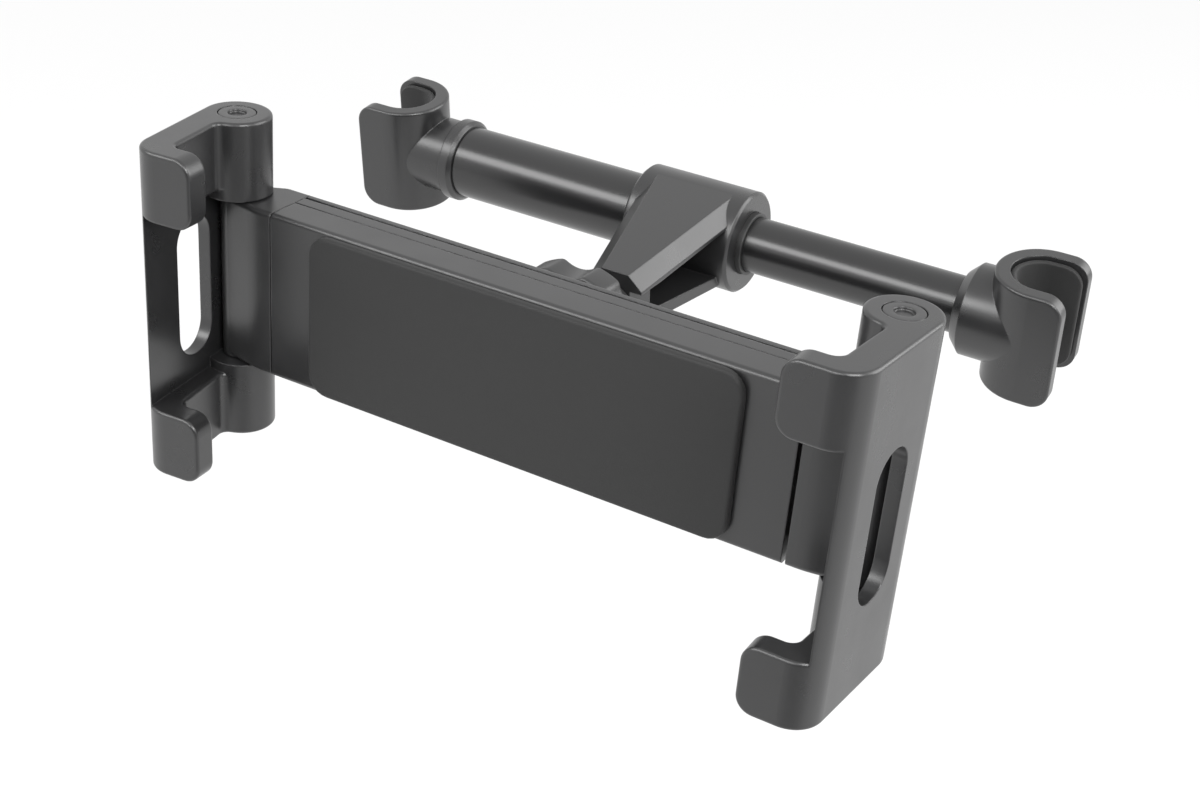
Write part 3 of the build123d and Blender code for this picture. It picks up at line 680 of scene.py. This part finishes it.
@dataclass
class BallJoint:
    """The bracket's ball joint, with the lobed clamp nut.

    Attributes:
        centre: The ball's centre.
        radius: Radius over the nut's lobes.
        lobes: Number of lobes.
        depth: Depth of the hollows between the lobes.
        turn: Turn of the lobes, in degrees.
        start: Front face of the lobes, from the ball's centre.
        shoulder: Back face of the lobes.
        end: The nut's back end.
        cone_root: Radius of the cone at the shoulder.
        cone_end: Radius of the cone at its end.
        mouth: Radius of the mouth that the stem leaves by.
        bore: Radius of the bore over the socket.
        shelf: Where the bore ends.
        seat: Radius of the hollow that closes on the ball.
        flat_rim: How far in from the lobes' tops the pressed part begins.
        blend: Rounding between the lobes and the hollows.
        steps: Steps of the nut's full turn.
    """

    centre: tuple[float, float, float] = (-85.5, -55.004, -8.122)
    radius: float = 18.3
    lobes: int = 8
    depth: float = 1.9
    turn: float = -2.8
    start: float = -7.4
    shoulder: float = 0.2
    end: float = 7.4
    cone_root: float = 15.7
    cone_end: float = 12.0
    mouth: float = 7.4
    bore: float = 12.65
    shelf: float = 3.3
    seat: float = 10.0
    flat_rim: float = 1.2
    blend: float = 1.1
    steps: int = 240
    nodes: tuple[str, ...] = ("bracket", "ball_stud", "ball_seat", "ball_ring", "ball_socket")

    def build(self, shop: FinishShop) -> None:
        """Build the nut and dress the rest of the joint."""
        for node in self.nodes:
            shop.dress_node(node)
        mesh = bmesh.new()
        spin(mesh, self.draw_profile(), self.steps, closed=True)
        nut = close_piece("lobed_nut", mesh)
        values = {
            "Lobes": self.lobes,
            "Radius": self.radius * MM,
            "Depth": self.depth * MM,
            "Turn": math.radians(self.turn),
        }
        grow(nut, self.make_lobes(values, shop.materials["nut_plastic"]), values)
        stand = Matrix.Translation(Vector(self.centre) * MM) @ Matrix.Rotation(-math.pi / 2, 4, "X")
        nut.data.transform(stand)
        shop.settle(nut, "nut", "clamp_nut")

    def draw_profile(self) -> list[Vector]:
        """Draw the nut's closed half section as radius and place along its axis."""
        ball_end = math.sqrt(self.seat**2 - self.mouth**2)
        flat = self.radius - self.flat_rim
        corners = [
            (self.bore, self.start, 0.3),
            (flat, self.start, 0.0),
            (self.radius, self.start, 0.8),
            (self.radius, self.shoulder, 0.8),
            (flat, self.shoulder, 0.0),
            (self.cone_root, self.shoulder, 0.3),
            (self.cone_end, self.end, 0.6),
            (self.mouth + self.end - ball_end, self.end, 0.0),
            (self.mouth, ball_end, 0.0),
        ]
        first = math.asin(self.mouth / self.seat)
        last = math.acos(self.shelf / self.seat)
        for step in range(1, 6):
            along = first + (last - first) * step / 5
            corners.append((self.seat * math.sin(along), self.seat * math.cos(along), 0.0))
        corners.append((self.bore, self.shelf, 0.0))
        return soften(corners)

    def make_lobes(
        self, inputs: dict[str, float], material: bpy.types.Material
    ) -> bpy.types.NodeTree:
        """Build the tree that presses round hollows into the nut's rim.

        Args:
            inputs: The tree's named inputs with their values.
            material: The nut's finish.

        Returns:
            The tree.
        """
        tree = new_form("nut_lobes", inputs)
        start = tree.nodes["in"].outputs
        place = tree.nodes.new("GeometryNodeInputPosition")
        parts = tree.nodes.new("ShaderNodeSeparateXYZ")
        tree.links.new(place.outputs[0], parts.inputs[0])
        x, y = parts.outputs["X"], parts.outputs["Y"]
        squares = math_node(tree, "MULTIPLY_ADD", x, x, math_node(tree, "MULTIPLY", y, y))
        radius = math_node(tree, "SQRT", squares)
        angle = math_node(tree, "SUBTRACT", math_node(tree, "ARCTAN2", y, x), start["Turn"])
        pitch = math_node(tree, "DIVIDE", math.pi, start["Lobes"])
        near = math_node(tree, "WRAP", angle, pitch, math_node(tree, "MULTIPLY", pitch, -1.0))
        hollow = math_node(tree, "MULTIPLY", start["Radius"], math_node(tree, "SINE", pitch))
        outwards = math_node(tree, "ADD", start["Radius"], hollow)
        middle = math_node(tree, "SUBTRACT", outwards, start["Depth"])
        offside = math_node(tree, "MULTIPLY", middle, math_node(tree, "SINE", near))
        room = math_node(
            tree,
            "SUBTRACT",
            math_node(tree, "MULTIPLY", hollow, hollow),
            math_node(tree, "MULTIPLY", offside, offside),
        )
        chord = math_node(tree, "SQRT", math_node(tree, "MAXIMUM", room, 0.0))
        wall = math_node(
            tree,
            "SUBTRACT",
            math_node(tree, "MULTIPLY", middle, math_node(tree, "COSINE", near)),
            chord,
        )
        rim = math_node(tree, "SMOOTH_MIN", start["Radius"], wall, self.blend * MM)
        drop = math_node(tree, "SUBTRACT", rim, start["Radius"])
        share = tree.nodes.new("ShaderNodeMapRange")
        share.inputs["From Min"].default_value = self.cone_root * MM
        share.inputs["From Max"].default_value = (self.radius - self.flat_rim) * MM
        tree.links.new(radius, share.inputs["Value"])
        pressed = math_node(tree, "MULTIPLY", drop, share.outputs["Result"])
        scale = math_node(tree, "DIVIDE", pressed, radius)
        shift = tree.nodes.new("ShaderNodeCombineXYZ")
        tree.links.new(math_node(tree, "MULTIPLY", x, scale), shift.inputs["X"])
        tree.links.new(math_node(tree, "MULTIPLY", y, scale), shift.inputs["Y"])
        moved = tree.nodes.new("GeometryNodeSetPosition")
        tree.links.new(start["Geometry"], moved.inputs["Geometry"])
        tree.links.new(shift.outputs[0], moved.inputs["Offset"])
        end_form(tree, moved.outputs[0], material)
        return tree


@dataclass
class ScrewSet:
    """A set of equal pan-head screws with a cross recess.

    Attributes:
        name: The finished piece's name.
        layout: How the screws are laid out.
        spread: Width and height of the grid, or the ring's radius twice.
        head: Radius of the head.
        head_height: Height of the head.
        shank: Radius of the shank.
        length: Length over all.
        seed: Seed of the turns that the screws were left at.
    """

    name: str
    layout: Layout
    spread: tuple[float, float]
    head: float
    head_height: float
    shank: float
    length: float
    seed: int = 5

    def build(self, material: bpy.types.Material) -> bpy.types.Object:
        """Build the set round the local Z axis, heads up, with their tops at zero.

        Args:
            material: The screws' finish.

        Returns:
            The piece.
        """
        mesh = bmesh.new()
        arm, half = 0.55 * self.head, 0.14 * self.head
        quarter = [(arm, -half), (arm, 0.0), (arm, half), (half, half)]
        cross = []
        for turn in range(4):
            spun = Matrix.Rotation(math.pi / 2 * turn, 2)
            cross += [spun @ Vector(point) for point in quarter]
        floor = [Vector((*point, -0.45 * self.head_height)) for point in cross]
        mouth = [Vector((*point, -0.04)) for point in cross]
        rings = [floor, mouth]
        outline = (
            (0.8 * self.head, -0.08),
            (self.head, -0.3),
            (self.head, -self.head_height + 0.02),
            (self.shank, -self.head_height + 0.02),
            (self.shank, -self.length + 0.3),
            (0.6 * self.shank, -self.length),
        )
        for radius, height in outline:
            rings.append([Vector((*(point.normalized() * radius), height)) for point in cross])
        skin(mesh, rings)
        piece = close_piece(self.name, mesh)
        values = {
            "Width": self.spread[0] * MM,
            "Height": self.spread[1] * MM,
            "Seed": self.seed,
        }
        grow(piece, self.make_rows(values, material), values)
        return piece

    def make_rows(
        self, inputs: dict[str, float], material: bpy.types.Material
    ) -> bpy.types.NodeTree:
        """Build the tree that sets a screw on each place of the layout.

        Args:
            inputs: The tree's named inputs with their values.
            material: The screws' finish.

        Returns:
            The tree.
        """
        tree = new_form(f"{self.name}_rows", inputs)
        start = tree.nodes["in"].outputs
        if self.layout is Layout.GRID:
            places = tree.nodes.new("GeometryNodeMeshGrid")
            places.inputs["Vertices X"].default_value = 2
            places.inputs["Vertices Y"].default_value = 2
            tree.links.new(start["Width"], places.inputs["Size X"])
            tree.links.new(start["Height"], places.inputs["Size Y"])
        else:
            places = tree.nodes.new("GeometryNodeMeshCircle")
            places.inputs["Vertices"].default_value = 4
            radius = math_node(tree, "MULTIPLY", start["Width"], 0.5)
            tree.links.new(radius, places.inputs["Radius"])
        left_at = tree.nodes.new("FunctionNodeRandomValue")
        left_at.data_type = "FLOAT"
        left_at.inputs[3].default_value = math.pi / 2
        tree.links.new(start["Seed"], left_at.inputs["Seed"])
        turn = tree.nodes.new("ShaderNodeCombineXYZ")
        tree.links.new(left_at.outputs[1], turn.inputs["Z"])
        rows = tree.nodes.new("GeometryNodeInstanceOnPoints")
        tree.links.new(places.outputs["Mesh"], rows.inputs["Points"])
        tree.links.new(start["Geometry"], rows.inputs["Instance"])
        tree.links.new(turn.outputs[0], rows.inputs["Rotation"])
        end_form(tree, rows.outputs[0], material)
        return tree


@dataclass
class ClampHousing:
    """The clamp's housing with its face pad and screws.

    Attributes:
        middle: Middle of the panel, seen from the front.
        back: The panel's back face.
        front: The panel's front face.
        pad_length: Length of the pad.
        pad_height: Height of the pad.
        pad_thickness: How far the pad stands proud.
        pad_corner: Radius of the pad's corners.
        pad_edge: Rounding of the pad's front edge.
        pad_groove: Depth of the shadow groove round the pad's foot.
        screw_x: Screws' distance from the middle along the panel.
        screw_z: Screws' distance from the middle across the panel.
        cavity: Depth of the housing's hollow.
        ring: Radius of the ring of screws that hold the ball's socket.
    """

    middle: tuple[float, float] = (-85.5, -8.122)
    back: float = -67.004
    front: float = -82.004
    pad_length: float = 105.4
    pad_height: float = 38.6
    pad_thickness: float = 2.0
    pad_corner: float = 5.0
    pad_edge: float = 0.8
    pad_groove: float = 0.35
    screw_x: float = 55.5
    screw_z: float = 17.25
    cavity: float = 9.0
    ring: float = 9.4
    nodes: tuple[str, ...] = ("housing_front", "housing_back")

    def build(self, shop: FinishShop) -> None:
        """Build the pad and the screws, and dress the housing."""
        for node in self.nodes:
            shop.dress_node(node)
        mesh = bmesh.new()
        skin(mesh, self.draw_pad())
        pad = close_piece("soft_pad", mesh)
        shop.settle(pad, "panel", "face_pad")
        x, z = self.middle
        steel = shop.materials["screw_steel"]
        corner_screws = ScrewSet(
            "corner_screws",
            Layout.GRID,
            spread=(2 * self.screw_x, 2 * self.screw_z),
            head=1.42,
            head_height=1.3,
            shank=0.9,
            length=9.0,
        ).build(steel)
        stand = Matrix.Translation(Vector((x, self.back, z)) * MM)
        corner_screws.data.transform(stand @ Matrix.Rotation(-math.pi / 2, 4, "X"))
        shop.settle(corner_screws, "panel", "housing_screws")
        ring_set = ScrewSet(
            "ring_screws",
            Layout.RING,
            spread=(2 * self.ring, 2 * self.ring),
            head=2.1,
            head_height=1.4,
            shank=1.1,
            length=7.9,
            seed=8,
        )
        ring_screws = ring_set.build(steel)
        wall = (self.back - self.front - self.cavity) / 2
        inside = self.back - wall - ring_set.head_height
        stand = Matrix.Translation(Vector((x, inside, z)) * MM)
        eighth = Matrix.Rotation(math.pi / 4, 4, "Z")
        ring_screws.data.transform(stand @ Matrix.Rotation(math.pi / 2, 4, "X") @ eighth)
        shop.settle(ring_screws, "panel", "socket_screws")

    def draw_pad(self) -> list[list[Vector]]:
        """Draw the pad's rings from its foot to its front face."""
        straight = self.pad_thickness - self.pad_edge
        stations = [
            (0.0, self.pad_groove),
            (self.pad_groove, self.pad_groove),
            (self.pad_groove + 0.1, 0.0),
            (straight, 0.0),
        ]
        for step in range(1, 7):
            turn = math.radians(15.0 * step)
            inset = self.pad_edge * (1 - math.cos(turn))
            stations.append((straight + self.pad_edge * math.sin(turn), inset))
        stations.append((self.pad_thickness, self.pad_edge + 0.4))
        x, z = self.middle
        rings = []
        for height, inset in stations:
            across = self.pad_length / 2 - inset
            up = self.pad_height / 2 - inset
            corner = self.pad_corner - inset
            signs = ((-1, -1), (1, -1), (1, 1), (-1, 1))
            outline = soften([(across * u, up * v, corner) for u, v in signs])
            rings.append([Vector((x + u, self.front - height, z + v)) for u, v in outline])
        return rings


@dataclass
class SlidingArms:
    """The two sprung arms that pull out of the housing."""

    nodes: tuple[str, ...] = ("left_arm", "right_arm", "left_arm_spring", "right_arm_spring")

    def build(self, shop: FinishShop) -> None:
        """Dress the arms and their springs."""
        for node in self.nodes:
            shop.dress_node(node)


@dataclass
class FoldingJaws:
    """The folding jaws, with the flush plugs that close their hinges.

    Attributes:
        pivots: Each side's hinge axis, seen from above.
        middle_z: Middle height of the jaws.
        half_height: Half the jaws' height.
        plug_radius: Radius of a plug.
        plug_thickness: Thickness of a plug.
        dimple_radius: Radius of the dimple in a plug.
        dimple_depth: Depth of the dimple.
        sunk: How far a plug's face lies below the jaw's end.
        plug_steps: Steps of a plug's full turn.
    """

    pivots: dict[str, tuple[float, float]] = field(
        default_factory=lambda: {"right": (-6.5, -76.104), "left": (-163.9, -76.104)}
    )
    middle_z: float = -8.122
    half_height: float = 38.5
    plug_radius: float = 4.17
    plug_thickness: float = 1.55
    dimple_radius: float = 2.1
    dimple_depth: float = 0.7
    sunk: float = 0.05
    plug_steps: int = 64

    def build(self, shop: FinishShop) -> None:
        """Build the plugs and dress the jaws and their pins."""
        for side, (x, y) in self.pivots.items():
            shop.dress_node(f"{side}_jaw")
            shop.dress_node(f"{side}_jaw_pin")
            place = Matrix.Translation((x, y, self.middle_z))
            plugs = close_piece(f"{side}_plugs", self.draw_plugs(), place)
            shop.settle(plugs, f"{side}_clip", f"{side}_pin_caps")

    def draw_plugs(self) -> bmesh.types.BMesh:
        """Draw the upper plug and its mirror image at the jaw's other end."""
        top = bmesh.new()
        spin(top, self.draw_plug(), self.plug_steps, closed=False)
        bmesh.ops.remove_doubles(top, verts=top.verts, dist=MERGE_MM)
        data = bpy.data.meshes.new("plug")
        top.to_mesh(data)
        top.free()
        # A fresh mesh keeps its points in order, which one with merged points does not.
        mesh = bmesh.new()
        mesh.from_mesh(data)
        first = len(mesh.verts)
        mesh.from_mesh(data)
        mesh.verts.ensure_lookup_table()
        bmesh.ops.scale(mesh, vec=(1, 1, -1), verts=mesh.verts[first:])
        bpy.data.meshes.remove(data)
        return mesh

    def draw_plug(self) -> list[Vector]:
        """Draw the upper plug's half section, from the middle of its foot to its dimple's."""
        top = self.half_height - self.sunk
        foot = top - self.plug_thickness
        return soften(
            [
                (0.0, foot, 0.0),
                (self.plug_radius, foot, 0.0),
                (self.plug_radius, top, 0.22),
                (self.dimple_radius, top, 0.18),
                (self.dimple_radius - 0.1, top - self.dimple_depth, 0.25),
                (0.0, top - self.dimple_depth, 0.0),
            ]
        )


# Studio


@dataclass
class Studio:
    """Floor, lights, world and camera of the photograph.

    Attributes:
        floor_drop: Height of the floor below the bar's axis.
        floor_half: Half the floor's side.
        floor_white: Share of the floor that the camera sees as plain white.
        fill: Level of the world's light.
        dark_towards: Direction of the unlit part of the room, behind the camera.
        dark_edges: Cosines between which the room goes from lit to unlit.
        dark_depth: How much of the room's light is missing there.
        middle: The point that the lamps aim at.
        camera_place: Where the camera stands.
        camera_right: The camera's right-hand direction.
        camera_up: The camera's up direction.
        lens: Focal length in millimetres.
        sensor: Sensor width in millimetres.
    """

    floor_drop: float = 0.16
    floor_half: float = 6.0
    floor_white: float = 0.75
    fill: float = 0.8
    dark_towards: tuple[float, float, float] = (0.5, -0.86, -0.08)
    dark_edges: tuple[float, float] = (0.7, 0.93)
    dark_depth: float = 0.92
    middle: tuple[float, float, float] = (-0.0855, -0.04, 0.0)
    camera_place: tuple[float, float, float] = (0.08613, -0.36807, 0.16788)
    camera_right: tuple[float, float, float] = (0.8615, 0.50173, 0.07798)
    camera_up: tuple[float, float, float] = (-0.29745, 0.37424, 0.87833)
    lens: float = 54.05
    sensor: float = 36.0

    def build(self) -> None:
        """Place the floor, the world, the lamps and the camera."""
        self.build_floor()
        self.build_world()
        self.add_lamp("front_box", (-0.4, -0.75, 0.58), (1.4, 0.32), 5.6)
        self.add_lamp("near_box", (0.4, -0.38, 0.45), (0.35, 0.35), 10.0)
        self.add_lamp("right_box", (0.7, 0.5, 0.45), (0.8, 0.8), 3.6)
        self.build_camera()

    def white_when_seen(self, tree: bpy.types.NodeTree) -> bpy.types.NodeSocket:
        """Add up the rays that see the backdrop: camera, mirrored and passed-through ones."""
        path = tree.nodes.new("ShaderNodeLightPath")
        rays = math_node(tree, "ADD", path.outputs["Is Camera Ray"], path.outputs["Is Glossy Ray"])
        seen = math_node(tree, "ADD", rays, path.outputs["Is Transmission Ray"])
        seen.node.use_clamp = True
        return seen

    def build_floor(self) -> None:
        """Lay a plain white floor that keeps a faint shadow."""
        half, level = self.floor_half, -self.floor_drop
        mesh = bpy.data.meshes.new("floor")
        signs = ((-1, -1), (1, -1), (1, 1), (-1, 1))
        corners = [(u * half, v * half, level) for u, v in signs]
        mesh.from_pydata(corners, [], [(0, 1, 2, 3)])
        floor = bpy.data.objects.new("floor", mesh)
        bpy.context.scene.collection.objects.link(floor)
        material = bpy.data.materials.new("white_floor")
        material.use_nodes = True
        tree = material.node_tree
        diffuse = tree.nodes["Principled BSDF"]
        diffuse.inputs["Base Color"].default_value = (0.8, 0.8, 0.8, 1.0)
        diffuse.inputs["Roughness"].default_value = 0.9
        place = tree.nodes.new("ShaderNodeNewGeometry")
        away = tree.nodes.new("ShaderNodeVectorMath")
        away.operation = "SUBTRACT"
        away.inputs[1].default_value = self.middle
        tree.links.new(place.outputs["Position"], away.inputs[0])
        towards = tree.nodes.new("ShaderNodeVectorMath")
        towards.operation = "NORMALIZE"
        tree.links.new(away.outputs[0], towards.inputs[0])
        paper = tree.nodes.new("ShaderNodeEmission")
        tree.links.new(self.show_white(tree, towards.outputs[0]), paper.inputs["Strength"])
        share = math_node(tree, "MULTIPLY", self.white_when_seen(tree), self.floor_white)
        mixed = tree.nodes.new("ShaderNodeMixShader")
        tree.links.new(share, mixed.inputs["Fac"])
        tree.links.new(diffuse.outputs[0], mixed.inputs[1])
        tree.links.new(paper.outputs[0], mixed.inputs[2])
        tree.links.new(mixed.outputs[0], tree.nodes["Material Output"].inputs["Surface"])
        mesh.materials.append(material)

    def build_world(self) -> None:
        """Give the world a plain level for light and white where it is seen."""
        world = bpy.data.worlds.new("studio")
        bpy.context.scene.world = world
        world.use_nodes = True
        tree = world.node_tree
        coords = tree.nodes.new("ShaderNodeTexCoord")
        level = self.dim_room(tree, coords.outputs["Generated"])
        lit = tree.nodes["Background"]
        lit.inputs["Color"].default_value = (1.0, 1.0, 1.0, 1.0)
        tree.links.new(math_node(tree, "MULTIPLY", level, self.fill), lit.inputs["Strength"])
        white = tree.nodes.new("ShaderNodeBackground")
        white.inputs["Color"].default_value = (1.0, 1.0, 1.0, 1.0)
        shown = self.show_white(tree, coords.outputs["Generated"])
        tree.links.new(shown, white.inputs["Strength"])
        mixed = tree.nodes.new("ShaderNodeMixShader")
        tree.links.new(self.white_when_seen(tree), mixed.inputs["Fac"])
        tree.links.new(lit.outputs[0], mixed.inputs[1])
        tree.links.new(white.outputs[0], mixed.inputs[2])
        tree.links.new(mixed.outputs[0], tree.nodes["World Output"].inputs["Surface"])

    def show_white(
        self, tree: bpy.types.NodeTree, towards: bpy.types.NodeSocket
    ) -> bpy.types.NodeSocket:
        """Show the backdrop white to the camera and as bright as the room is to other rays.

        Args:
            tree: The tree it goes into.
            towards: Direction from the mount.

        Returns:
            The socket of the backdrop's strength.
        """
        path = tree.nodes.new("ShaderNodeLightPath")
        level = self.dim_room(tree, towards)
        return math_node(tree, "MAXIMUM", path.outputs["Is Camera Ray"], level)

    def dim_room(
        self, tree: bpy.types.NodeTree, towards: bpy.types.NodeSocket
    ) -> bpy.types.NodeSocket:
        """Darken the room behind the camera, as round edges and tubes show it.

        Args:
            tree: The tree it goes into.
            towards: Direction from the mount.

        Returns:
            The socket of the room's level, where 1 is fully lit.
        """
        facing = tree.nodes.new("ShaderNodeVectorMath")
        facing.operation = "DOT_PRODUCT"
        facing.inputs[1].default_value = Vector(self.dark_towards).normalized()
        tree.links.new(towards, facing.inputs[0])
        share = tree.nodes.new("ShaderNodeMapRange")
        share.interpolation_type = "SMOOTHSTEP"
        share.inputs["From Min"].default_value = self.dark_edges[0]
        share.inputs["From Max"].default_value = self.dark_edges[1]
        share.inputs["To Min"].default_value = 1.0
        share.inputs["To Max"].default_value = 1.0 - self.dark_depth
        tree.links.new(facing.outputs["Value"], share.inputs["Value"])
        return share.outputs["Result"]

    def add_lamp(
        self,
        name: str,
        place: tuple[float, float, float],
        size: tuple[float, float],
        level: float,
    ) -> None:
        """Hang one soft box aimed at the mount's middle.

        Args:
            name: The lamp's name.
            place: Where it hangs.
            size: Its width and height.
            level: Its brightness, where 1 is the white of the backdrop.
        """
        data = bpy.data.lights.new(name, "AREA")
        data.shape = "RECTANGLE"
        data.size, data.size_y = size
        data.energy = level * math.pi * size[0] * size[1]
        lamp = bpy.data.objects.new(name, data)
        lamp.location = place
        aim = Vector(self.middle) - Vector(place)
        lamp.rotation_euler = aim.to_track_quat("-Z", "Y").to_euler()
        bpy.context.scene.collection.objects.link(lamp)

    def build_camera(self) -> None:
        """Stand the camera where the photograph was taken from."""
        data = bpy.data.cameras.new("camera")
        data.lens = self.lens
        data.sensor_width = self.sensor
        data.sensor_fit = "HORIZONTAL"
        data.clip_start = 0.01
        data.clip_end = 50.0
        camera = bpy.data.objects.new("camera", data)
        right = Vector(self.camera_right).normalized()
        up = Vector(self.camera_up).normalized()
        back = right.cross(up)
        turn = Matrix((right, up, back)).transposed().to_4x4()
        camera.matrix_world = Matrix.Translation(self.camera_place) @ turn
        bpy.context.scene.collection.objects.link(camera)
        bpy.context.scene.camera = camera
        bpy.context.scene.view_settings.view_transform = "Standard"


def main() -> None:
    """Build the looks of the whole mount and report each piece."""
    logging.basicConfig(level=logging.INFO, format="%(name)s: %(message)s")
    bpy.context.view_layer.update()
    shop = FinishShop()
    for assembly in (
        PostHooks(),
        TelescopicBar(),
        BallJoint(),
        ClampHousing(),
        SlidingArms(),
        FoldingJaws(),
    ):
        assembly.build(shop)
    Studio().build()


if __name__ == "__main__":
    main()
